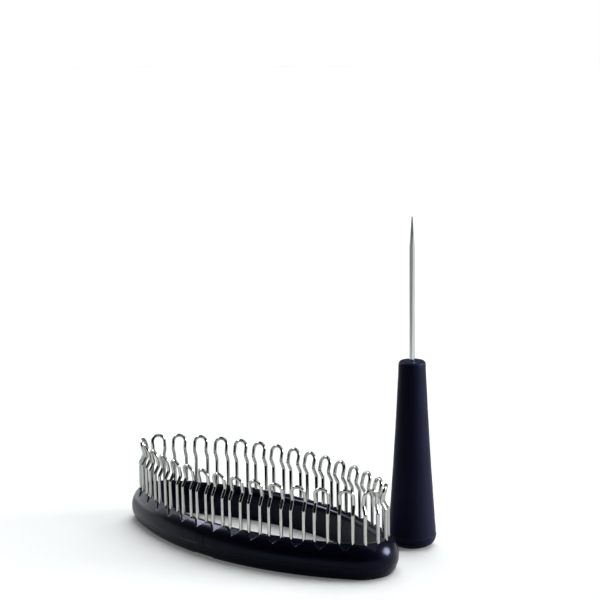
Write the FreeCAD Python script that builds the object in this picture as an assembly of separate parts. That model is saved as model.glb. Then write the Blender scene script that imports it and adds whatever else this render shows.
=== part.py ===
"""An oval knitting loom with wire hooks, and the pick that goes with it.

The loom lies flat: +Z is up, the table is z = 0 and the origin is in the middle of the oval.
X runs along the oval. The loose pick stands on its end behind the +X half of the loom.
All lengths are in millimetres.
"""

import FreeCAD, Part
import math
import os

V = FreeCAD.Vector
UP = V(0, 0, 1)

# ---------------------------------------------------------------- driving dimensions

# The hook line: the four-centre oval on which the middles of the hooks stand.
line_half_length = 55.0
line_half_width = 20.7
line_end_radius = 8.8

# The rim: a hollow ring of two shells. Its section is measured outward from the hook line.
rim_height = 11.8
rim_inner_offset = 2.4
rim_deck_edge_offset = 1.0
rim_bulge_offset = 3.9
rim_bulge_height = 5.6
rim_foot_offset = 2.1
rim_inner_wall = 1.3
rim_outer_wall = 1.4
rim_deck = 3.4
rim_floor = 2.6
seam_height = 4.6
seam_clearance = 0.1
seam_bevel = 0.1
lip_height = 1.6
lip_thickness = 0.8
inner_top_round = 2.2
deck_edge_round = 0.7
outer_foot_round = 0.9
inner_foot_round = 0.6

# The hooks: hairpins of round wire, pushed down through the deck and clinched under it.
hook_count = 30
hook_drift = 0.9
wire_diameter = 1.2
leg_spacing = 4.6
hook_height = 18.4
kink_height = 9.8
kink_rise = 3.0
kink_depth = 1.6
hook_top_offset = -0.4
kink_radius = 2.0
clinch_length = 1.4
clinch_radius = 0.8
clinch_gap = 0.1
socket_clearance = 0.05
rib_offset = 0.5
rib_gap = 0.15

# The pockets: a shallow V-shaped recess in the shoulder outside each hook, where the pick
# slides in. Its flat floor runs down and outward to the V's tip, and its sides are steep.
pocket_start_offset = 0.2
pocket_tip_offset = 2.9
pocket_half_width = 3.5
pocket_side_slope = 2.0

# The latch tabs of the lower shell, which fill slots in the upper shell.
tab_width = 3.2
tab_height = 3.6
tab_gap = 0.12
tab_from_middle = 5.35
relief_width = 9.4
relief_height = 0.4
relief_depth = 1.4

# The pick: a tapered hollow handle, closed by a domed plug, with a pointed steel needle.
pick_x = 43.9
pick_y = 32.1
handle_top_height = 66.0
handle_top_radius = 4.65
handle_waist_height = 19.2
handle_waist_radius = 7.32
handle_foot_radius = 8.42
handle_wall = 1.6
handle_top_round = 1.0
handle_neck = 16.0
plug_height = 4.3
plug_flat_radius = 5.2
plug_bevel = 0.15
spigot_height = 4.0
spigot_wall = 1.4
spigot_clearance = 0.08
needle_radius = 0.95
needle_tang_radius = 0.75
needle_free_length = 39.3
needle_taper_length = 10.9
needle_tip_radius = 0.22
needle_tang_length = 13.0
needle_groove_depth = 0.15
needle_groove_width = 0.8
needle_clearance = 0.02
needle_sink_radius = 1.8
needle_sink_depth = 0.5

# Each cutting tool reaches this far past the surface that it cuts.
cutter_overrun = 1.0

# ---------------------------------------------------------------- dependent dimensions

end_centre_x = line_half_length - line_end_radius
side_centre_y = (end_centre_x**2 - (line_half_width - line_end_radius)**2) / (
    2 * (line_half_width - line_end_radius))
side_radius = line_half_width + side_centre_y
end_half_angle = math.atan2(side_centre_y, end_centre_x)
end_arc_length = 2 * line_end_radius * end_half_angle
side_arc_length = 2 * side_radius * (math.pi / 2 - end_half_angle)
line_length = 2 * (end_arc_length + side_arc_length)

deck_under = rim_height - rim_deck
inner_wall_face = rim_inner_wall - rim_inner_offset
wire_radius = wire_diameter / 2
clinch_height = deck_under - wire_radius - clinch_gap
rib_top = clinch_height - wire_radius - rib_gap


# ---------------------------------------------------------------- the hook line

def line_arcs():
    """The oval's four arcs: centre, radius, start angle and swept angle in degrees."""
    end = math.degrees(end_half_angle)
    side = 180 - 2 * end
    return [
        (V(end_centre_x, 0, 0), line_end_radius, -end, 2 * end),
        (V(0, -side_centre_y, 0), side_radius, end, side),
        (V(-end_centre_x, 0, 0), line_end_radius, 180 - end, 2 * end),
        (V(0, side_centre_y, 0), side_radius, 180 + end, side),
    ]


def line_place(distance):
    """Place and heading (degrees) at a distance along the hook line from its +X end."""
    distance = distance % line_length
    run = distance + end_arc_length / 2
    for centre, radius, start, sweep in line_arcs() + line_arcs()[:1]:
        length = radius * math.radians(sweep)
        if run <= length:
            break
        run -= length
    heading = start + math.degrees(run / radius)
    angle = math.radians(heading)
    return centre + V(math.cos(angle), math.sin(angle), 0) * radius, heading


def line_offset(point):
    """How far a point lies outside the hook line, seen from above."""
    x, y = abs(point.x), abs(point.y)
    if math.atan2(y, x - end_centre_x) < end_half_angle:
        return math.hypot(x - end_centre_x, y) - line_end_radius
    return math.hypot(x, y + side_centre_y) - side_radius


def set_on_line(shape, distance):
    """Turn and move a shape, whose +X points outward, to its place on the hook line."""
    place, heading = line_place(distance)
    placed = shape.copy()
    placed.rotate(V(), UP, heading)
    placed.translate(place)
    return placed


def hook_distance(index):
    """Where a hook stands: even steps that open a little towards the two ends."""
    even = (index + 0.5) * line_length / hook_count
    return even + hook_drift * math.sin(4 * math.pi * even / line_length)


# ---------------------------------------------------------------- sections and rings

def section_point(offset, height):
    return V(offset, 0, height)


OUTER_CURVE = Part.Arc(
    section_point(rim_deck_edge_offset, rim_height),
    section_point(rim_bulge_offset, rim_bulge_height),
    section_point(rim_foot_offset, 0),
).toShape().Curve


def wall_offset(height, inset):
    """Offset of the curved outer wall, or of its parallel at a depth of inset."""
    centre = OUTER_CURVE.Center
    return centre.x + math.sqrt((OUTER_CURVE.Radius - inset)**2 - (height - centre.z)**2)


def wall_height(offset):
    """Height of the curved outer wall's upper half at an offset."""
    centre = OUTER_CURVE.Center
    return centre.z + math.sqrt(OUTER_CURVE.Radius**2 - (offset - centre.x)**2)


def wall_arc(inset, start, end):
    """The outer wall's curve at a depth of inset, between two heights."""
    heights = (start, (start + end) / 2, end)
    return Part.Arc(*[section_point(wall_offset(z, inset), z) for z in heights]).toShape()


def closed_section(*items):
    """A closed wire through points and arcs, with straight lines between them."""
    ends = []
    for item in items:
        if isinstance(item, V):
            ends.append((item, item))
        else:
            ends.append((item.Vertexes[0].Point, item.Vertexes[-1].Point))
    edges = [item for item in items if not isinstance(item, V)]
    for (_, leaves), (arrives, _) in zip(ends, ends[1:] + ends[:1]):
        if leaves.distanceToPoint(arrives) > 1e-6:
            edges.append(Part.makeLine(leaves, arrives))
    return Part.Wire(Part.__sortEdges__(edges))


def ring(section):
    """The closed ring that a section sweeps as it runs round the hook line."""
    lengths = []
    for centre, radius, start, sweep in line_arcs():
        face = Part.Face(section)
        face.translate(V(radius, 0, 0))
        face.rotate(V(), UP, start)
        length = face.revolve(V(), UP, sweep)
        length.translate(centre)
        lengths.append(length)
    return lengths[0].multiFuse(lengths[1:])


def rim_edges(shape, offset, height):
    """The edges of a ring that run round it at one offset and height."""
    found = []
    for edge in shape.Edges:
        middle = edge.valueAt((edge.FirstParameter + edge.LastParameter) / 2)
        ends = [vertex.Point.z for vertex in edge.Vertexes]
        level = max(abs(z - height) for z in ends + [middle.z]) < 1e-4
        if level and abs(line_offset(middle) - offset) < 1e-3:
            found.append(edge)
    return found


# ---------------------------------------------------------------- the rim

def hook_pocket(distance):
    """The cutter for one pocket: a sloping V-shaped floor with its two sides and a flat top."""
    start = section_point(pocket_start_offset, rim_height)
    tip = section_point(pocket_tip_offset, wall_height(pocket_tip_offset))
    lift = rim_height - tip.z + cutter_overrun
    left, right = [start + V(0, side * pocket_half_width, 0) for side in (-1, 1)]
    up_left, up_right = [V(0, side * lift / pocket_side_slope, lift) for side in (-1, 1)]
    faces = [
        [left, right, tip],
        [left, left + up_left, right + up_right, right],
        [left, tip, tip + up_left, left + up_left],
        [right, right + up_right, tip + up_right, tip],
        [left + up_left, tip + up_left, tip + up_right, right + up_right],
        [tip, tip + up_right, tip + up_left],
    ]
    sides = [Part.Face(Part.makePolygon(corners + corners[:1])) for corners in faces]
    return set_on_line(Part.Solid(Part.Shell(sides)), distance)


def hook_sockets(distance):
    """The two holes that one hook's legs pass through."""
    radius = wire_radius + socket_clearance
    low = deck_under - cutter_overrun
    depth = rim_deck + 2 * cutter_overrun
    holes = [
        Part.makeCylinder(radius, depth, V(0, side * leg_spacing / 2, low))
        for side in (-1, 1)
    ]
    return set_on_line(holes[0].fuse(holes[1]), distance)


def tab_block(width, low, high):
    """Blocks from the rib out through the wall at both latch tabs, one on each long side."""
    reach = rim_bulge_offset + cutter_overrun - rib_offset
    block = Part.makeBox(reach, width, high - low, V(rib_offset, -width / 2, low))
    quarter = line_length / 4
    return [
        set_on_line(block, quarter * 3 - tab_from_middle),
        set_on_line(block, quarter - tab_from_middle),
    ]


def rim_upper():
    """The upper shell: deck, inner wall and bulging outer wall, open below."""
    shell = ring(closed_section(
        section_point(-rim_inner_offset, seam_height),
        section_point(-rim_inner_offset, rim_height),
        wall_arc(0, rim_height, seam_height + seam_bevel),
        section_point(wall_offset(seam_height, seam_bevel), seam_height),
        wall_arc(rim_outer_wall, seam_height, deck_under),
        section_point(inner_wall_face, deck_under),
        section_point(inner_wall_face, seam_height),
    ))
    shell = shell.makeFillet(inner_top_round, rim_edges(shell, -rim_inner_offset, rim_height))
    shell = shell.makeFillet(deck_edge_round, rim_edges(shell, rim_deck_edge_offset, rim_height))
    cutters = []
    for index in range(hook_count):
        cutters.append(hook_pocket(hook_distance(index)))
        cutters.append(hook_sockets(hook_distance(index)))
    slot_top = seam_height + tab_height + tab_gap
    cutters += tab_block(tab_width + 2 * tab_gap, seam_height - tab_gap, slot_top)
    return shell.cut(cutters)


def rim_lower():
    """The lower shell: it closes the rim, centres on its lip and backs the clinched legs."""
    lip_inset = rim_outer_wall + seam_clearance
    lip_top = seam_height + lip_height
    shell = ring(closed_section(
        section_point(-rim_inner_offset, 0),
        wall_arc(0, 0, seam_height - seam_bevel),
        section_point(wall_offset(seam_height, seam_bevel), seam_height),
        wall_arc(lip_inset, seam_height, lip_top),
        wall_arc(lip_inset + lip_thickness, lip_top, rim_floor),
        section_point(rib_offset, rim_floor),
        section_point(rib_offset, rib_top),
        section_point(inner_wall_face + seam_clearance, rib_top),
        section_point(inner_wall_face + seam_clearance, seam_height),
        section_point(-rim_inner_offset, seam_height),
    ))
    shell = shell.makeFillet(outer_foot_round, rim_edges(shell, rim_foot_offset, 0))
    shell = shell.makeFillet(inner_foot_round, rim_edges(shell, -rim_inner_offset, 0))
    tab_top = seam_height + tab_height
    wall = ring(closed_section(
        wall_arc(0, seam_height - 2 * seam_bevel, tab_top),
        wall_arc(lip_inset + lip_thickness, tab_top, seam_height - 2 * seam_bevel),
    ))
    tabs = [wall.common(block) for block in tab_block(tab_width, 0, rim_height)]
    band = ring(closed_section(
        section_point(rim_foot_offset - relief_depth, -cutter_overrun),
        section_point(rim_bulge_offset, -cutter_overrun),
        section_point(rim_bulge_offset, relief_height),
        section_point(rim_foot_offset - relief_depth, relief_height),
    ))
    reliefs = [band.common(block) for block in tab_block(relief_width, -cutter_overrun, relief_height)]
    return shell.multiFuse(tabs).cut(reliefs)


# ---------------------------------------------------------------- the hooks

def rounded_corner(before, corner, after, radius):
    """The tangent arc at a corner, as its start, middle and end points."""
    back = (before - corner).normalize()
    ahead = (after - corner).normalize()
    half = back.getAngle(ahead) / 2
    reach = radius / math.tan(half)
    inward = (back + ahead).normalize()
    middle = corner + inward * (radius / math.sin(half) - radius)
    return corner + back * reach, middle, corner + ahead * reach


def wire_side(side):
    """One side of the hairpin, from its clinched foot up to the start of its round top."""
    y = side * leg_spacing / 2
    lean = V(hook_top_offset + kink_depth, 0, hook_height - wire_radius - kink_height - kink_rise)
    lean.normalize()
    top = V(hook_top_offset, y, rim_height + hook_height - wire_radius) - lean * (leg_spacing / 2)
    points = [
        V(0, y + side * clinch_length, clinch_height),
        V(0, y, clinch_height),
        V(0, y, rim_height + kink_height),
        V(-kink_depth, y, rim_height + kink_height + kink_rise),
        top,
    ]
    edges = []
    start = points[0]
    radii = (clinch_radius, kink_radius, kink_radius)
    for before, corner, after, radius in zip(points, points[1:], points[2:], radii):
        first, middle, last = rounded_corner(before, corner, after, radius)
        edges.append(Part.makeLine(start, first))
        edges.append(Part.Arc(first, middle, last).toShape())
        start = last
    edges.append(Part.makeLine(start, top))
    return edges, top


def hook():
    """One hairpin, standing at the origin of the hook line with +X pointing outward."""
    left, left_top = wire_side(-1)
    right, right_top = wire_side(1)
    crown = V(hook_top_offset, 0, rim_height + hook_height - wire_radius)
    arch = Part.Arc(left_top, crown, right_top).toShape()
    path = Part.Wire(left + [arch] + right[::-1])
    foot = left[0].Vertexes[0].Point
    section = Part.Wire(Part.makeCircle(wire_radius, foot, V(0, 1, 0)))
    return path.makePipeShell([section], True, False)


# ---------------------------------------------------------------- the pick

def turned(*items):
    """A solid of revolution about the pick's axis, from its closed half section."""
    solid = Part.Face(closed_section(*items)).revolve(V(), UP, 360)
    solid.translate(V(pick_x, pick_y, 0))
    return solid


def handle_radius(height):
    """The handle's radius: a parabola through its foot, waist and top radii."""
    knots = [
        (plug_height, handle_foot_radius),
        (handle_waist_height, handle_waist_radius),
        (handle_top_height, handle_top_radius),
    ]
    total = 0
    for own, radius in knots:
        others = [z for z, _ in knots if z != own]
        total += radius * math.prod((height - z) / (own - z) for z in others)
    return total


def handle_side(inset, start, end):
    """The handle's slightly hollow side at a depth of inset, between two heights."""
    middle = (start + end) / 2
    ends = [section_point(handle_radius(z) - inset, z) for z in (start, end)]
    control = section_point(handle_radius(middle) - inset, middle) * 2 - (ends[0] + ends[1]) * 0.5
    curve = Part.BezierCurve()
    curve.setPoles([ends[0], control, ends[1]])
    return curve.toShape()


def pick_handle():
    """The handle: a thin tapered shell with a solid neck that is bored for the needle."""
    bore = needle_tang_radius + needle_clearance
    neck = handle_top_height - handle_neck
    side = handle_side(0, handle_top_height, plug_height)
    cavity = handle_side(handle_wall, plug_height, neck)
    handle = turned(
        section_point(bore, handle_top_height - needle_sink_depth),
        section_point(needle_sink_radius, handle_top_height),
        side,
        cavity,
        section_point(bore, neck),
    )
    top_edge = [
        edge for edge in handle.Edges
        if abs(edge.BoundBox.ZMin - handle_top_height) < 1e-4
        and edge.BoundBox.XLength > 2 * needle_sink_radius + handle_top_round
        and edge.BoundBox.ZLength < 1e-4
    ]
    return handle.makeFillet(handle_top_round, top_edge)


def pick_base():
    """The plug: a domed foot below the handle, with a hollow spigot inside it."""
    foot = V(handle_foot_radius - plug_bevel, 0, plug_height)
    spigot_radius = handle_foot_radius - handle_wall - spigot_clearance
    spigot_top = plug_height + spigot_height
    spigot_side = handle_side(handle_wall + spigot_clearance, plug_height, spigot_top)
    spigot_inside = spigot_radius - spigot_wall
    round_width = handle_foot_radius - plug_flat_radius
    round_height = plug_height - plug_bevel
    diagonal = math.sqrt(0.5)
    dome = Part.Arc(
        section_point(plug_flat_radius, 0),
        section_point(
            plug_flat_radius + round_width * diagonal,
            round_height * (1 - diagonal),
        ),
        section_point(handle_foot_radius, round_height),
    ).toShape()
    return turned(
        section_point(0, 0),
        dome,
        foot,
        spigot_side,
        section_point(spigot_inside, spigot_top),
        section_point(spigot_inside, plug_height),
        section_point(0, plug_height),
    )


def pick_needle():
    """The needle: a plain steel shank, a thinner grooved tang in the handle and a long point."""
    tang_low = handle_top_height - needle_tang_length
    point_low = handle_top_height + needle_free_length
    tip = point_low + needle_taper_length
    groove = needle_tang_radius - needle_groove_depth
    outline = [section_point(0, tang_low), section_point(groove, tang_low)]
    height = tang_low + needle_groove_width
    for _ in range(3):
        outline.append(section_point(needle_tang_radius, height))
        outline.append(section_point(needle_tang_radius, height + needle_groove_width))
        outline.append(section_point(groove, height + needle_groove_width))
        outline.append(section_point(groove, height + 2 * needle_groove_width))
        height += 2 * needle_groove_width
    outline.append(section_point(needle_tang_radius, height))
    outline.append(section_point(needle_tang_radius, handle_top_height))
    outline.append(section_point(needle_radius, handle_top_height))
    outline.append(section_point(needle_radius, point_low))
    tip_round = Part.Arc(
        section_point(needle_tip_radius, tip - needle_tip_radius),
        section_point(
            needle_tip_radius * math.sqrt(0.5),
            tip - needle_tip_radius * (1 - math.sqrt(0.5)),
        ),
        section_point(0, tip),
    ).toShape()
    return turned(*outline, tip_round)


# ---------------------------------------------------------------- the pieces

def write(name, shape):
    """Write one piece as STEP, and say how sound and how big it is."""
    shape = shape.Solids[0] if len(shape.Solids) == 1 else shape
    shape.exportStep("parts/" + name + ".step")
    box = shape.optimalBoundingBox()
    print(f"{name}: solids {len(shape.Solids)} valid {shape.isValid()} volume {shape.Volume:.2f}",
          f"z {box.ZMin:.2f} to {box.ZMax:.2f}")


os.makedirs("parts", exist_ok=True)
write("rim_upper", rim_upper())
write("rim_lower", rim_lower())
plain_hook = hook()
for number in range(hook_count):
    write(f"hook_{number + 1:02d}", set_on_line(plain_hook, hook_distance(number)))
write("pick_handle", pick_handle())
write("pick_base", pick_base())
write("pick_needle", pick_needle())
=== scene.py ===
"""An oval knitting loom with upright wire hooks, and the loose pick that goes with it.

The file follows the loom as it is put together: the upper shell with its hook pockets, the
lower shell with its latch tabs, the wire hooks, then the pick's handle, plug and needle, and
last the table, the lamps and the camera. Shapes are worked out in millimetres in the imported
part's frame: +Z up, the oval's long axis along X, the table at z = 0.
"""

import math

import bpy
import numpy as np
from mathutils import Matrix


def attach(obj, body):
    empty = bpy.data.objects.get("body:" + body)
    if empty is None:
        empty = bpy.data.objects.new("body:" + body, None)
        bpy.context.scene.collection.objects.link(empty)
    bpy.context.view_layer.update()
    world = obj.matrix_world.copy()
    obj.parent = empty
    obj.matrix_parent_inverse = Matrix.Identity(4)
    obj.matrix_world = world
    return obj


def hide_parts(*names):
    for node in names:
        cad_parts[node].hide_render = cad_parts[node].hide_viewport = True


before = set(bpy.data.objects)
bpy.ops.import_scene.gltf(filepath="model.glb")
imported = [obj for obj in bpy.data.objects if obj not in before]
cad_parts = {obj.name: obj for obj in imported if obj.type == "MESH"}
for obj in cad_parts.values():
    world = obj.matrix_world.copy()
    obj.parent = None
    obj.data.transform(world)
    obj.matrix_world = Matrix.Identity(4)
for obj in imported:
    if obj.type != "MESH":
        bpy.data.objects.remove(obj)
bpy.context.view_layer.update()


# ---------------------------------------------------------------- the upper shell of the rim
# One ABS moulding, deck, inner wall and bulging outer wall, open below. Each hook stands over
# a shallow V-shaped pocket in its shoulder, where the pick slides in, and each long side has a
# slot for a latch tab of the lower shell.

MM = 0.001

# The hook line: the four-centre oval that the rim's section is carried along.
end_radius = 8.8
end_x = 46.2
half_width = 20.7
side_y = (end_x**2 - (half_width - end_radius) ** 2) / (2 * (half_width - end_radius))
side_radius = half_width + side_y
end_half_angle = math.atan2(side_y, end_x)
end_arc = 2 * end_radius * end_half_angle
side_arc = 2 * side_radius * (math.pi / 2 - end_half_angle)
line_length = 2 * (end_arc + side_arc)


def hook_line(distance):
    """Places on the oval and outward directions, at distances round it from its +X end.

    Each of the four arcs takes its own stretch of the distance. A place is the arc's centre
    plus its radius in the outward direction, which turns evenly along the arc.
    """
    run = (distance + end_arc / 2) % line_length
    starts = np.cumsum([0, end_arc, side_arc, end_arc])
    arc = np.searchsorted(starts, run, side="right") - 1
    centres = np.array([[end_x, 0], [0, -side_y], [-end_x, 0], [0, side_y]])
    radii = np.array([end_radius, side_radius, end_radius, side_radius])
    first = end_half_angle * np.array([-1, 1, -1, 1]) + math.pi * np.array([0, 0, 1, 1])
    heading = first[arc] + (run - starts[arc]) / radii[arc]
    outward = np.stack([np.cos(heading), np.sin(heading)], axis=-1)
    return centres[arc] + radii[arc][..., None] * outward, outward


# Thirty hooks, whose even steps open a little towards the two ends.
hook_count = 30
hook_drift = 0.9


def hook_distance(turn):
    """Distance of a hook round the line: even steps plus two sine waves a lap."""
    even = turn * line_length / hook_count
    return even + hook_drift * np.sin(4 * math.pi * even / line_length)


# The section, as offsets outward from the hook line and heights above the table.
rim_height = 11.8
seam_height = 4.6
seam_bevel = 0.06
inner_offset = 2.4
inner_wall = 1.3
outer_wall = 1.4
deck = 3.4
deck_under = rim_height - deck
cavity_face = inner_wall - inner_offset
inner_top_round = 2.2
deck_edge = (1.0, rim_height)
bulge = (3.9, 5.6)
foot = (2.1, 0.0)


def circle_through(a, b, c):
    """Centre and radius of the circle through three points, from two chords' bisectors."""
    chords = 2 * np.subtract([b, c], a)
    level = np.sum(np.square([b, c]), axis=1) - np.sum(np.square(a))
    centre = np.linalg.solve(chords, level)
    return centre[0], centre[1], math.dist(a, centre)


section_x, section_z, section_radius = circle_through(deck_edge, bulge, foot)


def wall_angle(height, inset=0):
    """The angle, about the section circle's centre, whose sine times the radius gives a height."""
    return math.asin((height - section_z) / (section_radius - inset))


def wall_curve(inset, start, end, count):
    """Points down or up the outer wall at a depth of inset, even in angle."""
    angle = np.linspace(wall_angle(start, inset), wall_angle(end, inset), count)
    radius = section_radius - inset
    offset = section_x + radius * np.cos(angle)
    return np.stack([offset, section_z + radius * np.sin(angle)], axis=-1)


def smooth_least(a, b, width):
    """The smaller of two values, with the corner between them rounded over a width.

    Where they differ by less than the width, a parabola in their difference joins them.
    """
    share = np.clip(0.5 + (b - a) / (2 * width), 0, 1)
    return b + (a - b) * share - width * share * (1 - share) / 2


def smooth_most(a, b, width):
    """The larger of two values, with the corner between them rounded over a width."""
    return -smooth_least(-a, -b, width)


# A pocket's flat floor runs down and outward to the V's tip, between two steep sides.
pocket_start = 0.2
pocket_tip = 2.7
pocket_half_width = 3.5
pocket_side_slope = 2.0
pocket_edge_round = 0.4
deck_edge_round = 0.4


def pocket_depth(angle, distance, radius):
    """How deep the pockets are below the shoulder, along rays from the section circle's centre.

    In the frame of the nearest hook, a point of the shoulder lies some height above the
    pocket's floor, which falls evenly from its start on the deck to the V's tip. Past the V's
    edge a side takes its slope times the distance from that height. What is left, with its
    edges rounded, is measured along the ray, which meets the floor aslant.
    """
    turns = np.arange(hook_count) + 0.5
    ahead = (distance[:, None] - hook_distance(turns)) % line_length
    away = np.minimum(ahead, line_length - ahead)
    nearest = np.argmin(away, axis=1)
    place, outward = hook_line(distance)
    hook_place, hook_outward = hook_line(hook_distance(turns[nearest]))
    hook_along = np.stack([-hook_outward[:, 1], hook_outward[:, 0]], axis=-1)
    turn_out = np.sum(outward * hook_outward, axis=1)
    turn_along = np.sum(outward * hook_along, axis=1)
    offset = section_x + radius * np.cos(angle)
    across = np.sum((place - hook_place) * hook_outward, axis=1) + turn_out * offset
    along = np.sum((place - hook_place) * hook_along, axis=1) + turn_along * offset
    tip_height = section_z + math.sqrt(section_radius**2 - (pocket_tip - section_x) ** 2)
    fall = (rim_height - tip_height) / (pocket_tip - pocket_start)
    above = section_z + radius * np.sin(angle) - rim_height + fall * (across - pocket_start)
    v_half_width = pocket_half_width * (pocket_tip - across) / (pocket_tip - pocket_start)
    side = above + pocket_side_slope * (v_half_width - np.abs(along))
    depth = smooth_most(smooth_least(above, side, pocket_edge_round), 0, pocket_edge_round)
    return depth / (fall * turn_out * np.cos(angle) + np.sin(angle))


# The latch tabs stand a little before the middle of each long side, and fill their slots. The
# gap round them takes in the small rounding of both its edges, and its sides lean by tab_edge.
tab_from_middle = 5.35
tab_distances = np.array([3, 1]) * line_length / 4 - tab_from_middle
tab_half_width = 1.6
tab_top = 8.2
tab_gap = 0.26
tab_edge = 0.02
slot_depth = 1.35
side_growth = 1 + bulge[0] / side_radius


def across_tab(distance):
    """How far a place on the outer wall lies from the middle of the nearest latch tab.

    It is the distance along the line, times the growth of lengths out at the bulge.
    """
    return np.min(np.abs(distance[:, None] - tab_distances), axis=1) * side_growth


def rim_columns(per_hook, edges):
    """Distances round the line: even steps between hooks, and the edges beside each tab."""
    even = hook_distance(np.arange(hook_count * per_hook) / per_hook)
    beside = np.concatenate([edges, -np.array(edges)])[:, None] / side_growth + tab_distances
    return np.sort(np.concatenate([even, beside.ravel()]))


def carry_round(offset, height, distance):
    """A section carried round the hook line, as a grid of points.

    A point is its place on the line plus its offset in the outward direction, at its height.
    Rows run along the section and columns round the line.
    """
    place, outward = hook_line(distance)
    plan = place + offset[..., None] * outward
    level = np.broadcast_to(height[..., None], (*plan.shape[:2], 1))
    return np.concatenate([plan, level], axis=-1)


def grid_faces(rows, columns, close_rows, close_columns, first=0):
    """Quads between the neighbouring rows and columns of a grid, as corner numbers."""
    row = np.arange(rows if close_rows else rows - 1)[:, None] * columns
    column = np.arange(columns if close_columns else columns - 1)
    next_row = (row + columns) % (rows * columns)
    next_column = (column + 1) % columns
    corners = [row + column, row + next_column, next_row + next_column, next_row + column]
    return (np.stack(corners, axis=-1).reshape(-1, 4) + first).tolist()


def new_piece(name, points, faces, material, body, nodes, crease=32):
    """A smooth-shaded mesh with sharp creases, riding on its body in place of CAD nodes."""
    mesh = bpy.data.meshes.new(name)
    mesh.from_pydata((points.reshape(-1, 3) * MM).tolist(), [], faces)
    mesh.polygons.foreach_set("use_smooth", np.ones(len(mesh.polygons), bool))
    mesh.set_sharp_from_angle(angle=math.radians(crease))
    mesh.materials.append(material)
    mesh.update()
    piece = bpy.data.objects.new(name, mesh)
    bpy.context.scene.collection.objects.link(piece)
    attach(piece, body)
    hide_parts(*nodes)


def linear(code):
    """The linear RGBA of an sRGB hex colour: straight near black, and a power of 2.4 above."""
    srgb = np.array([int(code[i:i + 2], 16) for i in (1, 3, 5)]) / 255
    rgb = np.where(srgb <= 0.04045, srgb / 12.92, ((srgb + 0.055) / 1.055) ** 2.4)
    return (*rgb.tolist(), 1.0)


def add_node(tree, kind, settings=None, **inputs):
    """A shader node with its settings, its socket values and its links from other sockets.

    A socket is named with underscores for spaces, or by an underscore and its number.
    """
    node = tree.nodes.new(kind)
    for setting, value in (settings or {}).items():
        setattr(node, setting, value)
    for socket, value in inputs.items():
        number = socket.removeprefix("_")
        target = node.inputs[int(number) if number.isdigit() else socket.replace("_", " ")]
        if isinstance(value, bpy.types.NodeSocket):
            tree.links.new(value, target)
        else:
            target.default_value = value
    return node


def new_material(name):
    """An empty material, as its node tree and its surface shader."""
    material = bpy.data.materials.new(name)
    material.use_nodes = True
    return material, material.node_tree, material.node_tree.nodes["Principled BSDF"]


# Moulded ABS, near-black navy, from a polished tool: a glossy skin with a slow waviness where
# the plastic shrank, and a fine grain that scatters its reflections. The grain is drawn
# coarser than the real one, so that it shows.
rim_plastic, tree, shader = new_material("moulded_abs_navy_black")
rim_navy = "#0c0c1e"
rim_navy_light = "#131327"
rim_sheen = "#c4d2ff"
rim_roughness = (0.17, 0.26)
rim_specular = 0.11
plastic_ior = 1.5
wave_mm = 9.0
wave_depth_mm = 0.05
grain_mm = 0.35
grain_depth_mm = 0.01
noise_span = (0.3, 0.7)
where = add_node(tree, "ShaderNodeTexCoord").outputs["Object"]
waves = add_node(tree, "ShaderNodeTexNoise", Vector=where, Scale=1 / (wave_mm * MM), Detail=2.0)
grain = add_node(tree, "ShaderNodeTexNoise", Vector=where, Scale=1 / (grain_mm * MM), Detail=3.0)
tint = add_node(tree, "ShaderNodeMix", {"data_type": "RGBA"}, _0=waves.outputs["Fac"],
                _6=linear(rim_navy), _7=linear(rim_navy_light))
matt = add_node(tree, "ShaderNodeMapRange", Value=grain.outputs["Fac"],
                From_Min=noise_span[0], From_Max=noise_span[1],
                To_Min=rim_roughness[0], To_Max=rim_roughness[1])
relief = add_node(tree, "ShaderNodeBump", Height=waves.outputs["Fac"],
                  Strength=0.25, Distance=wave_depth_mm * MM)
skin = add_node(tree, "ShaderNodeBump", Height=grain.outputs["Fac"],
                Strength=0.10, Distance=grain_depth_mm * MM, Normal=relief.outputs["Normal"])
tree.links.new(tint.outputs[2], shader.inputs["Base Color"])
tree.links.new(matt.outputs["Result"], shader.inputs["Roughness"])
tree.links.new(skin.outputs["Normal"], shader.inputs["Normal"])
shader.inputs["IOR"].default_value = plastic_ior
shader.inputs["Specular IOR Level"].default_value = rim_specular
shader.inputs["Specular Tint"].default_value = linear(rim_sheen)

# Columns of the mesh, even between hooks, with three at each side of a slot. Rows up the outer
# wall stand wide below the pockets, in a pair at the slots' top edge, and close in the pockets.
# A ray from the section circle's centre that is flatter than least_deck_angle misses the deck.
columns_per_hook = 44
wall_rows = (5.2, 5.9, 6.6, 7.2, 7.7, 8.1)
above_slot_rows = (8.5, 8.8)
pocket_rows = 34
pocket_rows_from = 9.1
inner_wall_rows = (8.5, 6.5)
least_deck_angle = 0.1

slot_half_width = tab_half_width + tab_gap
slot_top = tab_top + tab_gap
columns = rim_columns(columns_per_hook, [tab_half_width, slot_half_width, slot_half_width - tab_edge])
inner_edge_angle = math.atan2(rim_height - section_z, inner_top_round - inner_offset - section_x)
deck_edge_angle = math.atan2(rim_height - section_z, pocket_start - section_x)
side_angles = np.concatenate([
    [wall_angle(z) for z in (seam_height + seam_bevel, *wall_rows)],
    [wall_angle(z) for z in (slot_top - tab_edge, slot_top, *above_slot_rows)],
    np.linspace(wall_angle(pocket_rows_from), deck_edge_angle, pocket_rows),
    np.linspace(deck_edge_angle, inner_edge_angle, 4)[1:],
])[:, None]
deck_radius = (rim_height - section_z) / np.sin(np.maximum(side_angles, least_deck_angle))
side_radii = smooth_least(section_radius, deck_radius, deck_edge_round)
side_radii = side_radii - pocket_depth(side_angles, columns, side_radii)
below_slot_top = side_angles < wall_angle(slot_top - tab_edge / 2)
in_slot = below_slot_top & (across_tab(columns) < slot_half_width - tab_edge / 2)
side_radii = np.where(in_slot, section_radius - slot_depth, side_radii)
round_angles = np.linspace(math.pi / 2, math.pi, 13)[1:]
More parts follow.
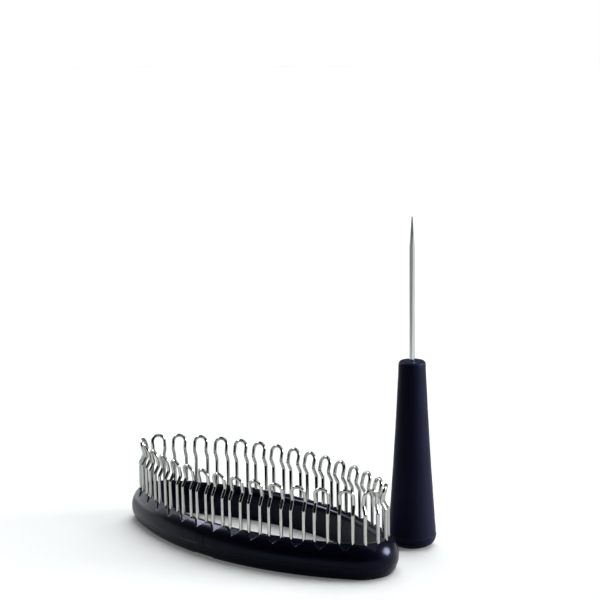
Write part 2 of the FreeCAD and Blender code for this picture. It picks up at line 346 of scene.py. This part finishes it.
seam_edge = wall_curve(0, seam_height, seam_height, 1) - [seam_bevel, 0]
inside = np.concatenate([
    np.stack([
        inner_top_round - inner_offset + inner_top_round * np.cos(round_angles),
        rim_height - inner_top_round + inner_top_round * np.sin(round_angles),
    ], axis=-1),
    [(-inner_offset, z) for z in (*inner_wall_rows, seam_height)],
    [(cavity_face, seam_height), (cavity_face, deck_under)],
    wall_curve(outer_wall, deck_under, seam_height, 4),
    seam_edge,
])
offsets = np.concatenate([
    section_x + side_radii * np.cos(side_angles),
    np.broadcast_to(inside[:, :1], (len(inside), len(columns))),
])
heights = np.concatenate([
    section_z + side_radii * np.sin(side_angles),
    np.broadcast_to(inside[:, 1:], (len(inside), len(columns))),
])
new_piece(
    "upper_shell", carry_round(offsets, heights, columns),
    grid_faces(len(offsets), len(columns), True, True),
    rim_plastic, "loom", ["rim_upper"],
)


# ---------------------------------------------------------------- the lower shell of the rim
# The second ABS moulding closes the rim from below. Its lip centres the upper shell, its rib
# backs the clinched legs of the hooks, and its latch tabs come up flush through the slots.

floor_thickness = 2.6
lip_clearance = 0.1
lip_inset = outer_wall + lip_clearance
lip_thickness = 0.8
lip_height = 1.6
lip_top = seam_height + lip_height
rib_clearance = 0.1
rib_face = 0.5
rib_top = 6.95
outer_foot_round = 0.45
inner_foot_round = 0.6
relief_half_width = 4.7
relief_height = 0.4
relief_start = 0.7
relief_step = 0.001
low_columns_per_hook = 12
low_wall_rows = (3.0, 1.5)
tab_clearance = 0.05

# Under each latch tab the foot stands relief_height off the table, from relief_start outwards.
low_columns = rim_columns(low_columns_per_hook, [relief_half_width, relief_half_width + tab_edge])
inner_foot_angle = math.atan2(-section_z, inner_foot_round - inner_offset - section_x)
relief_angle = math.atan2(-section_z, relief_start - section_x)
low_angles = np.concatenate([
    np.linspace(inner_foot_angle, relief_angle - relief_step, 6),
    np.linspace(relief_angle + relief_step, wall_angle(seam_height - seam_bevel), 30),
])[:, None]
table_radius = -section_z / np.sin(low_angles)
relief_radius = (relief_height - section_z) / np.sin(low_angles)
outside = low_angles > relief_angle
rounded_radius = smooth_least(section_radius, table_radius, outer_foot_round)
low_radii = np.where(outside, rounded_radius, table_radius)
in_relief = outside & (across_tab(low_columns) < relief_half_width + tab_edge / 2)
low_radii = np.where(in_relief, np.minimum(low_radii, relief_radius), low_radii)
round_angles = np.linspace(math.pi, 1.5 * math.pi, 6)[:-1]
inside = np.concatenate([
    seam_edge,
    wall_curve(lip_inset, seam_height, lip_top, 3),
    wall_curve(lip_inset + lip_thickness, lip_top, floor_thickness, 4),
    [(rib_face, floor_thickness), (rib_face, rib_top)],
    [(cavity_face + rib_clearance, rib_top), (cavity_face + rib_clearance, seam_height)],
    [(-inner_offset, z) for z in (seam_height, *low_wall_rows)],
    np.stack([
        inner_foot_round - inner_offset + inner_foot_round * np.cos(round_angles),
        inner_foot_round + inner_foot_round * np.sin(round_angles),
    ], axis=-1),
])
offsets = np.concatenate([
    section_x + low_radii * np.cos(low_angles),
    np.broadcast_to(inside[:, :1], (len(inside), len(low_columns))),
])
heights = np.concatenate([
    section_z + low_radii * np.sin(low_angles),
    np.broadcast_to(inside[:, 1:], (len(inside), len(low_columns))),
])
points = [carry_round(offsets, heights, low_columns).reshape(-1, 3)]
faces = grid_faces(len(offsets), len(low_columns), True, True)

# A latch tab: a loop up the outer face and down the inner one, carried across its width.
tab_loop = np.concatenate([
    wall_curve(0, seam_height - seam_bevel, tab_top, 10),
    wall_curve(slot_depth - tab_clearance, tab_top, seam_height - seam_bevel, 4),
])
tab_columns = np.linspace(-tab_half_width, tab_half_width, 9) / side_growth
for middle in tab_distances:
    first = sum(len(block) for block in points)
    grid = carry_round(tab_loop[:, :1], tab_loop[:, 1:], middle + tab_columns)
    points.append(grid.reshape(-1, 3))
    faces += grid_faces(len(tab_loop), len(tab_columns), True, False, first)
    near = first + np.arange(len(tab_loop)) * len(tab_columns)
    faces += [near[::-1].tolist(), (near + len(tab_columns) - 1).tolist()]
new_piece(
    "lower_shell", np.concatenate(points), faces,
    rim_plastic, "loom", ["rim_lower"],
)


# ---------------------------------------------------------------- the hooks
# Each hook is a hairpin of bright nickel-plated steel wire. Its two legs rise from the deck,
# kink inward over the ring and meet in a round top, and their feet are clinched under the deck.

wire_radius = 0.6
leg_half_spacing = 2.3
hook_height = 18.4
hook_top = rim_height + hook_height - wire_radius
hook_top_offset = -0.4
leg_length = 9.8
kink_low = rim_height + leg_length
kink_height = 3.0
kink_high = kink_low + kink_height
kink_depth = 1.6
kink_radius = 2.0
clinch_clearance = 0.1
clinch_height = deck_under - wire_radius - clinch_clearance
clinch_length = 1.4
clinch_radius = 0.8
wire_sides = 18


def rounded_path(corners, radii, steps):
    """A line through corner points, each replaced by a tangent arc of its own radius.

    An arc runs from one tangent point to the other as the corner's two directions, weighted
    by sine and cosine, swing round the arc's centre. The first and last corners stay.
    """
    path = [corners[:1]]
    for before, corner, after, radius in zip(corners, corners[1:], corners[2:], radii):
        back = (before - corner) / np.linalg.norm(before - corner)
        ahead = (after - corner) / np.linalg.norm(after - corner)
        half = math.acos(np.dot(back, ahead)) / 2
        inward = (back + ahead) / np.linalg.norm(back + ahead)
        sideways = (ahead - back) / np.linalg.norm(ahead - back)
        centre = corner + inward * radius / math.sin(half)
        swing = np.linspace(half - math.pi / 2, math.pi / 2 - half, steps)[:, None]
        path.append(centre - radius * np.cos(swing) * inward + radius * np.sin(swing) * sideways)
    path.append(corners[-1:])
    return np.concatenate(path)


lean = np.array([hook_top_offset + kink_depth, 0, hook_top - kink_high])
lean /= np.linalg.norm(lean)
arch_middle = np.array([hook_top_offset, 0, hook_top]) - lean * leg_half_spacing
leg_corners = np.array([
    [0, leg_half_spacing + clinch_length, clinch_height],
    [0, leg_half_spacing, clinch_height],
    [0, leg_half_spacing, kink_low],
    [-kink_depth, leg_half_spacing, kink_high],
    arch_middle + [0, leg_half_spacing, 0],
])
leg = rounded_path(leg_corners, [clinch_radius, kink_radius, kink_radius], 9)
arch_angle = np.linspace(0, math.pi, 25)[1:-1, None]
arch = arch_middle + leg_half_spacing * (np.cos(arch_angle) * [0, 1, 0] + np.sin(arch_angle) * lean)
wire = np.concatenate([leg, arch, leg[::-1] * [1, -1, 1]])


def tube_round(path, radius, sides):
    """Rings of a round tube along a path: each ring lies square to the path's direction.

    The direction at a point is that between its neighbours. One axis of the ring is the
    local X less its part along the path, and the other is square to both.
    """
    direction = np.gradient(path, axis=0)
    direction /= np.linalg.norm(direction, axis=1, keepdims=True)
    first_axis = np.array([1.0, 0, 0]) - direction[:, :1] * direction
    first_axis /= np.linalg.norm(first_axis, axis=1, keepdims=True)
    second_axis = np.cross(direction, first_axis)
    angle = np.linspace(0, 2 * math.pi, sides, endpoint=False)[None, :, None]
    ring = np.cos(angle) * first_axis[:, None] + np.sin(angle) * second_axis[:, None]
    return path[:, None] + radius * ring


# Drawn steel wire with a bright nickel plate: clear reflections, broken by a few dull patches
# and by draw lines along the wire, which are coarser than real ones, so that they show.
hook_wire, tree, shader = new_material("nickel_plated_steel_wire")
nickel = "#bdbfbc"
nickel_dull = "#a2a4a1"
nickel_edge = "#8c8e8c"
wire_roughness = (0.04, 0.12)
patch_mm = 2.2
patch_span = (0.35, 0.7)
line_mm = 0.12
line_depth_mm = 0.01
line_stretch = 0.04
where = add_node(tree, "ShaderNodeTexCoord").outputs["Object"]
patches = add_node(tree, "ShaderNodeTexNoise", Vector=where, Scale=1 / (patch_mm * MM), Detail=3.0)
upright = add_node(tree, "ShaderNodeMapping", Vector=where, Scale=(1, 1, line_stretch))
lines = add_node(tree, "ShaderNodeTexNoise", Vector=upright.outputs["Vector"],
                 Scale=1 / (line_mm * MM), Detail=2.0)
tint = add_node(tree, "ShaderNodeMix", {"data_type": "RGBA"}, _0=patches.outputs["Fac"],
                _6=linear(nickel), _7=linear(nickel_dull))
matt = add_node(tree, "ShaderNodeMapRange", Value=patches.outputs["Fac"],
                From_Min=patch_span[0], From_Max=patch_span[1],
                To_Min=wire_roughness[0], To_Max=wire_roughness[1])
relief = add_node(tree, "ShaderNodeBump", Height=lines.outputs["Fac"],
                  Strength=0.15, Distance=line_depth_mm * MM)
tree.links.new(tint.outputs[2], shader.inputs["Base Color"])
tree.links.new(matt.outputs["Result"], shader.inputs["Roughness"])
tree.links.new(relief.outputs["Normal"], shader.inputs["Normal"])
shader.inputs["Metallic"].default_value = 1.0
shader.inputs["Specular Tint"].default_value = linear(nickel_edge)

rings = tube_round(wire, wire_radius, wire_sides)
wire_faces = grid_faces(len(wire), wire_sides, False, True)
last_ring = range((len(wire) - 1) * wire_sides, len(wire) * wire_sides)
wire_faces += [list(range(wire_sides)), list(last_ring)[::-1]]
hook_places, hook_headings = hook_line(hook_distance(np.arange(hook_count) + 0.5))
for number, (place, outward) in enumerate(zip(hook_places, hook_headings), 1):
    turned = rings @ np.array([[*outward, 0], [-outward[1], outward[0], 0], [0, 0, 1]])
    new_piece(
        f"wire_hook_{number:02d}", turned + [*place, 0], wire_faces,
        hook_wire, "loom", [f"hook_{number:02d}"], crease=60,
    )


# ---------------------------------------------------------------- the pick's handle
# A tapered hollow moulding with slightly hollow sides and a rounded top edge. The needle comes
# out of a small countersink in its top, and a domed plug closes its foot.

pick_place = np.array([43.9, 32.1, 0])
plug_height = 4.3
handle_top = 66.0
handle_foot_radius = 8.42
handle_waist_height = 19.2
handle_waist_radius = 7.32
handle_top_radius = 4.65
handle_wall = 1.6
handle_top_round = 1.0
handle_neck = 16.0
top_ring_radius = 2.6
bore_radius = 0.77
sink_radius = 1.8
sink_depth = 0.5
pick_sides = 96


def handle_radius(height):
    """Radius of the handle's side: the parabola through its foot, waist and top."""
    heights = [plug_height, handle_waist_height, handle_top]
    radii = [handle_foot_radius, handle_waist_radius, handle_top_radius]
    return np.polyval(np.polyfit(heights, radii, 2), height)


def turn_round(profile, sides):
    """A profile of radii and heights turned about the pick's upright axis, as a grid.

    A point lies at its radius in the direction of each angle, and keeps its height.
    """
    angle = np.linspace(0, 2 * math.pi, sides, endpoint=False)
    plan = profile[:, :1, None] * np.stack([np.cos(angle), np.sin(angle)], axis=-1)
    height = np.broadcast_to(profile[:, 1:, None], (len(profile), sides, 1))
    return np.concatenate([plan, height], axis=-1) + pick_place


# The hollow narrows to the bore under the neck. Below, it takes every tenth height of the side,
# one thickness of wall inside it.
side = np.linspace(plug_height, handle_top - handle_top_round, 60)
hollow = side[40::-10]
top_angle = np.linspace(0, math.pi / 2, 9)[1:]
handle_profile = np.concatenate([
    np.stack([handle_radius(side), side], axis=-1),
    np.stack([
        handle_radius(handle_top) - handle_top_round * (1 - np.cos(top_angle)),
        handle_top - handle_top_round * (1 - np.sin(top_angle)),
    ], axis=-1),
    [(top_ring_radius, handle_top), (sink_radius, handle_top)],
    [(bore_radius, handle_top - sink_depth), (bore_radius, handle_top - handle_neck)],
    np.stack([handle_radius(hollow) - handle_wall, hollow], axis=-1),
])

# The same plastic as the rim's, in a lighter navy and from an eroded tool: an even satin with a
# fine grain, which is drawn coarser than the real one, so that it shows.
handle_plastic, tree, shader = new_material("moulded_abs_navy_satin")
handle_navy = "#2b2e4c"
handle_navy_dark = "#242744"
handle_roughness = (0.42, 0.54)
handle_specular = 0.05
handle_grain_mm = 0.3
handle_grain_depth_mm = 0.02
handle_cloud_mm = 14.0
where = add_node(tree, "ShaderNodeTexCoord").outputs["Object"]
clouds = add_node(tree, "ShaderNodeTexNoise", Vector=where, Scale=1 / (handle_cloud_mm * MM), Detail=2.0)
grain = add_node(tree, "ShaderNodeTexNoise", Vector=where, Scale=1 / (handle_grain_mm * MM), Detail=2.0)
tint = add_node(tree, "ShaderNodeMix", {"data_type": "RGBA"}, _0=clouds.outputs["Fac"],
                _6=linear(handle_navy), _7=linear(handle_navy_dark))
matt = add_node(tree, "ShaderNodeMapRange", Value=grain.outputs["Fac"],
                From_Min=noise_span[0], From_Max=noise_span[1],
                To_Min=handle_roughness[0], To_Max=handle_roughness[1])
relief = add_node(tree, "ShaderNodeBump", Height=grain.outputs["Fac"],
                  Strength=0.35, Distance=handle_grain_depth_mm * MM)
tree.links.new(tint.outputs[2], shader.inputs["Base Color"])
tree.links.new(matt.outputs["Result"], shader.inputs["Roughness"])
tree.links.new(relief.outputs["Normal"], shader.inputs["Normal"])
shader.inputs["IOR"].default_value = plastic_ior
shader.inputs["Specular IOR Level"].default_value = handle_specular

new_piece(
    "handle", turn_round(handle_profile, pick_sides),
    grid_faces(len(handle_profile), pick_sides, True, True),
    handle_plastic, "pick", ["pick_handle"],
)


# ---------------------------------------------------------------- the pick's plug
# A domed foot of the same plastic. A spigot holds it in the handle. Its rim stands out by a hair
# and its bevel catches the light as a fine line round the handle's foot.

plug_flat_radius = 5.2
plug_ring_radius = 2.5
plug_bevel = 0.25
plug_lip = 0.10
plug_rim_radius = handle_foot_radius + plug_lip
spigot_clearance = 0.08
spigot_radius = handle_foot_radius - handle_wall - spigot_clearance
spigot_wall = 1.4
spigot_length = 4.0
spigot_top = plug_height + spigot_length


def close_pole(profile, sides):
    """Faces of a turned profile whose first and last points lie on the axis."""
    rows = len(profile)
    ring = np.arange(sides)
    following = (ring + 1) % sides
    low_cap = np.stack([np.zeros(sides, int), 1 + following, 1 + ring], axis=-1)
    last = 1 + (rows - 2) * sides
    high_cap = np.stack([last - sides + ring, last - sides + following, np.full(sides, last)], axis=-1)
    return low_cap.tolist() + grid_faces(rows - 2, sides, False, True, 1) + high_cap.tolist()


def pole_points(profile, sides):
    """Points of a turned profile, with one point at each end, where it meets the axis."""
    grid = turn_round(profile, sides)
    return np.concatenate([grid[:1, 0], grid[1:-1].reshape(-1, 3), grid[-1:, 0]])


dome_angle = np.linspace(0, math.pi / 2, 16)
plug_profile = np.concatenate([
    [(0, 0), (plug_ring_radius, 0)],
    np.stack([
        plug_flat_radius + (plug_rim_radius - plug_flat_radius) * np.sin(dome_angle),
        (plug_height - plug_bevel) * (1 - np.cos(dome_angle)),
    ], axis=-1),
    [(handle_foot_radius - plug_lip, plug_height), (spigot_radius, plug_height)],
    [(spigot_radius, spigot_top), (spigot_radius - spigot_wall, spigot_top)],
    [(spigot_radius - spigot_wall, plug_height), (0, plug_height)],
])
new_piece(
    "plug", pole_points(plug_profile, pick_sides), close_pole(plug_profile, pick_sides),
    handle_plastic, "pick", ["pick_base"],
)


# ---------------------------------------------------------------- the pick's needle
# A round steel shank, ground to a long taper and a blunt point, with a thinner grooved tang
# that is held in the handle's neck.

needle_radius = 0.95
tang_radius = 0.75
tang_groove = 0.15
groove_count = 3
tang_pitch = 0.8
tang_length = 13.0
tang_low = handle_top - tang_length
shank_length = 39.3
point_low = handle_top + shank_length
point_length = 10.9
needle_tip = point_low + point_length
tip_radius = 0.22
needle_sides = 48

grooves_top = tang_low + (2 * groove_count + 1) * tang_pitch
groove_heights = tang_low + tang_pitch * np.repeat(np.arange(1, 2 * groove_count + 1), 2)
groove_radii = tang_radius - tang_groove * np.tile([1, 0, 0, 1], groove_count)
tip_angle = np.linspace(0, math.pi / 2, 6)
needle_profile = np.concatenate([
    [(0, tang_low), (tang_radius - tang_groove, tang_low)],
    np.stack([groove_radii, groove_heights], axis=-1),
    [(tang_radius - tang_groove, grooves_top), (tang_radius, grooves_top)],
    [(tang_radius, handle_top), (needle_radius, handle_top), (needle_radius, point_low)],
    np.stack([
        tip_radius * np.cos(tip_angle),
        needle_tip - tip_radius * (1 - np.sin(tip_angle)),
    ], axis=-1),
])
needle_profile[-1, 0] = 0

# Polished steel: bright and even, with fine rings where the shank was ground. They are coarser
# than real ones, so that they show.
needle_steel, tree, shader = new_material("polished_steel_needle")
steel = "#c8caca"
steel_edge = "#a2a4a4"
steel_roughness = (0.10, 0.18)
ring_mm = 0.2
ring_depth_mm = 0.01
ring_stretch = 0.1
where = add_node(tree, "ShaderNodeTexCoord").outputs["Object"]
across = add_node(tree, "ShaderNodeMapping", Vector=where, Scale=(ring_stretch, ring_stretch, 1))
rings_noise = add_node(tree, "ShaderNodeTexNoise", Vector=across.outputs["Vector"],
                       Scale=1 / (ring_mm * MM), Detail=2.0)
matt = add_node(tree, "ShaderNodeMapRange", Value=rings_noise.outputs["Fac"],
                From_Min=noise_span[0], From_Max=noise_span[1],
                To_Min=steel_roughness[0], To_Max=steel_roughness[1])
relief = add_node(tree, "ShaderNodeBump", Height=rings_noise.outputs["Fac"],
                  Strength=0.10, Distance=ring_depth_mm * MM)
tree.links.new(matt.outputs["Result"], shader.inputs["Roughness"])
tree.links.new(relief.outputs["Normal"], shader.inputs["Normal"])
shader.inputs["Base Color"].default_value = linear(steel)
shader.inputs["Metallic"].default_value = 1.0
shader.inputs["Specular Tint"].default_value = linear(steel_edge)

new_piece(
    "needle", pole_points(needle_profile, needle_sides), close_pole(needle_profile, needle_sides),
    needle_steel, "pick", ["pick_needle"],
)


# ---------------------------------------------------------------- the table and the surround
# A white table, with low white paper behind and beside the loom, and in front the table's end
# and a dark room. Reflections see them, and the camera sees white on every side.

# The rays that see the table find it white, with a little glow. To the light that it throws
# back on the loom it is a dim grey, so that the dark plastic keeps its depth. In reflections it
# fades to past_table of its white beyond its end, table_end metres out in front.
floor_half_size = 6.0
floor_white = "#f7fafa"
floor_passed_on = "#404242"
floor_glow = 0.12
table_end_towards = (-0.174, -0.985, 0)
table_end = (0.20, 0.28)
past_table = 0.3
table_mesh = bpy.data.meshes.new("table")
corners = floor_half_size * np.array([[-1, -1, 0], [1, -1, 0], [1, 1, 0], [-1, 1, 0]])
table_mesh.from_pydata(corners.tolist(), [], [[0, 1, 2, 3]])
table = bpy.data.objects.new("table", table_mesh)
bpy.context.scene.collection.objects.link(table)


def seen_rays(tree):
    """One for the rays of the camera, of reflections and of glass, and nought for the rest."""
    ray = add_node(tree, "ShaderNodeLightPath").outputs
    either = add_node(tree, "ShaderNodeMath", {"operation": "MAXIMUM"},
                      _0=ray["Is Camera Ray"], _1=ray["Is Glossy Ray"])
    return add_node(tree, "ShaderNodeMath", {"operation": "MAXIMUM"},
                    _0=either.outputs[0], _1=ray["Is Transmission Ray"]).outputs[0]


table_white, tree, shader = new_material("white_table")
spot = add_node(tree, "ShaderNodeNewGeometry").outputs["Position"]
forward = add_node(tree, "ShaderNodeVectorMath", {"operation": "DOT_PRODUCT"},
                   _0=spot, _1=table_end_towards).outputs["Value"]
on_table = add_node(tree, "ShaderNodeMapRange", {"interpolation_type": "SMOOTHSTEP"}, Value=forward,
                    From_Min=table_end[0], From_Max=table_end[1], To_Min=1.0, To_Max=past_table)
shown = add_node(tree, "ShaderNodeMath", {"operation": "MAXIMUM"}, _0=on_table.outputs["Result"],
                 _1=add_node(tree, "ShaderNodeLightPath").outputs["Is Camera Ray"])
seen = add_node(tree, "ShaderNodeMath", {"operation": "MULTIPLY"},
                _0=seen_rays(tree), _1=shown.outputs[0]).outputs[0]
tint = add_node(tree, "ShaderNodeMix", {"data_type": "RGBA"}, _0=seen,
                _6=linear(floor_passed_on), _7=linear(floor_white))
glow = add_node(tree, "ShaderNodeMath", {"operation": "MULTIPLY"}, _0=seen, _1=floor_glow)
tree.links.new(tint.outputs[2], shader.inputs["Base Color"])
tree.links.new(glow.outputs[0], shader.inputs["Emission Strength"])
shader.inputs["Emission Color"].default_value = linear(floor_white)
shader.inputs["Roughness"].default_value = 1.0
shader.inputs["Specular IOR Level"].default_value = 0.0
table_mesh.materials.append(table_white)

# The surround's brightness by direction: white paper behind and beside the loom, which falls to
# a dim ceiling, and a dark room in front. Diffuse light comes from a soft box overhead instead.
front = (0.647, -0.763, 0)
paper_edge = (2, 8)
paper_sides = (0.75, -0.15)
room_dark = 0.05
ceiling_dark = 0.10
soft_box_towards = (-0.141, 0.435, 0.889)
soft_box_edge = (14, 36)
soft_box_strength = 4.2
soft_box_spill = 0.04

world = bpy.data.worlds.new("studio")
bpy.context.scene.world = world
world.use_nodes = True
tree = world.node_tree
direction = add_node(tree, "ShaderNodeTexCoord").outputs["Generated"]
upward = add_node(tree, "ShaderNodeSeparateXYZ", Vector=direction).outputs["Z"]
facing = add_node(tree, "ShaderNodeVectorMath", {"operation": "DOT_PRODUCT"},
                  _0=direction, _1=front).outputs["Value"]
paper_low, paper_high = (math.sin(math.radians(edge)) for edge in paper_edge)
soft_inner, soft_outer = (math.cos(math.radians(edge)) for edge in soft_box_edge)
behind = add_node(tree, "ShaderNodeMapRange", {"interpolation_type": "SMOOTHSTEP"}, Value=facing,
                  From_Min=paper_sides[0], From_Max=paper_sides[1], To_Min=room_dark, To_Max=1.0)
ceiling = add_node(tree, "ShaderNodeMapRange", {"interpolation_type": "SMOOTHSTEP"}, Value=upward,
                   From_Min=paper_low, From_Max=paper_high, To_Min=1.0, To_Max=ceiling_dark)
paper = add_node(tree, "ShaderNodeMath", {"operation": "MULTIPLY"},
                 _0=behind.outputs["Result"], _1=ceiling.outputs["Result"])
overhead = add_node(tree, "ShaderNodeVectorMath", {"operation": "DOT_PRODUCT"},
                    _0=direction, _1=soft_box_towards).outputs["Value"]
soft_box = add_node(tree, "ShaderNodeMapRange", {"interpolation_type": "SMOOTHSTEP"}, Value=overhead,
                    From_Min=soft_outer, From_Max=soft_inner,
                    To_Min=soft_box_spill, To_Max=soft_box_strength)
strength = add_node(tree, "ShaderNodeMix", {"data_type": "FLOAT"}, _0=seen_rays(tree),
                    _2=soft_box.outputs["Result"], _3=paper.outputs[0])
shown = add_node(tree, "ShaderNodeMath", {"operation": "MAXIMUM"}, _0=strength.outputs[0],
                 _1=add_node(tree, "ShaderNodeLightPath").outputs["Is Camera Ray"])
tree.links.new(shown.outputs[0], tree.nodes["Background"].inputs["Strength"])
tree.nodes["Background"].inputs["Color"].default_value = linear("#ffffff")


# ---------------------------------------------------------------- the lights
# A window from the right and a little behind gives the light and the shadows. Only gloss sees
# its bright heart, which draws the round glint on the rim's end, the lamp overhead, which glints
# on the hooks' tops, and the reflectors at the left.


def add_sun(name, level, width, elevation, heading, seen_in_gloss):
    """A distant round lamp, width degrees across, which shines down from an elevation.

    A white sheet that faces it is lit to its level, where 1 is white. Its heading turns about
    +Z from the -Y side. Gloss alone sees it, or all other light.
    """
    lamp_data = bpy.data.lights.new(name, "SUN")
    lamp_data.energy = level * math.pi
    lamp_data.angle = math.radians(width)
    lamp = bpy.data.objects.new(name, lamp_data)
    bpy.context.scene.collection.objects.link(lamp)
    lamp.rotation_euler = (math.radians(90 - elevation), 0, math.radians(heading))
    lamp.visible_diffuse = not seen_in_gloss
    lamp.visible_glossy = seen_in_gloss


add_sun("window", level=0.62, width=30, elevation=19, heading=130, seen_in_gloss=False)
add_sun("window_heart", level=1.9, width=22, elevation=18.5, heading=130, seen_in_gloss=True)
add_sun("overhead", level=0.24, width=50, elevation=71, heading=125, seen_in_gloss=True)
add_sun("left_reflector", level=0.30, width=40, elevation=17, heading=-96, seen_in_gloss=True)
add_sun("left_reflector_heart", level=0.72, width=15, elevation=42, heading=-74, seen_in_gloss=True)


# ---------------------------------------------------------------- the camera
# Looks across the near right end of the loom from a little above, through a long lens that
# keeps the near and the far hooks nearly one size.

camera_place = np.array([355.216, -394.368, 178.164])
camera_heading = 40.31
camera_dip = 9.746
camera_roll = -0.7017
film_width = 36.0
focal_length = 93.36

camera_data = bpy.data.cameras.new("camera")
camera_data.sensor_width = film_width
camera_data.lens = focal_length
camera = bpy.data.objects.new("camera", camera_data)
bpy.context.scene.collection.objects.link(camera)
camera.location = camera_place * MM
heading = Matrix.Rotation(math.radians(camera_heading), 3, "Z")
tilt = Matrix.Rotation(math.radians(90 - camera_dip), 3, "X")
roll = Matrix.Rotation(math.radians(camera_roll), 3, "Z")
camera.rotation_euler = (heading @ tilt @ roll).to_euler()
bpy.context.scene.camera = camera

bpy.context.scene.view_settings.view_transform = "Standard"
